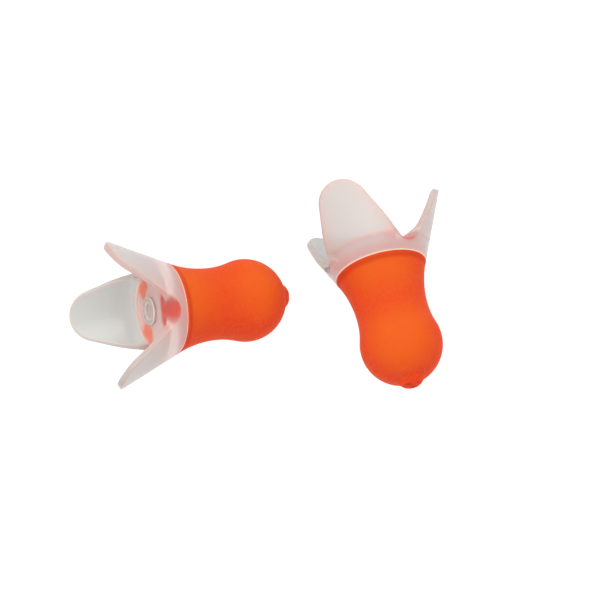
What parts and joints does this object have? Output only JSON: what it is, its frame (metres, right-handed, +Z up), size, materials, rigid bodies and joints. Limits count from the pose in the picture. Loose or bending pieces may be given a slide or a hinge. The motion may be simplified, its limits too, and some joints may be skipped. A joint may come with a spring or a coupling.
{
  "type": "push-to-fit foam ear plugs",
  "caption": "Push-to-fit ear plugs: gourd-shaped soft foam pods on clear flared petal grips with a central stem, lying loose side by side on a flat surface.",
  "frame": {"origin": "centre of the pair's footprint, on the flat surface that both plugs lie on", "axes": "+X along the pair's longest extent, from the left plug's petals towards the right plug; +Y towards the right plug's petals; +Z up, off the surface"},
  "size_m": [0.0564, 0.0368, 0.0238],
  "materials": {
    "foam": "matte",
    "clear_elastomer": "satin",
    "clear_stem": "gloss"
  },
  "bodies": {
    "left_plug": {"left_foam_pod": "foam", "left_petal_grip": "clear_elastomer", "left_stem": "clear_stem"},
    "right_plug": {"right_foam_pod": "foam", "right_petal_grip": "clear_elastomer", "right_stem": "clear_stem"}
  },
  "joints": [
    {"name": "right_plug_lift", "type": "slide", "parent": "left_plug", "child": "right_plug", "axis": [0, 0, 1], "range_m": [0, 0.03]}
  ]
}
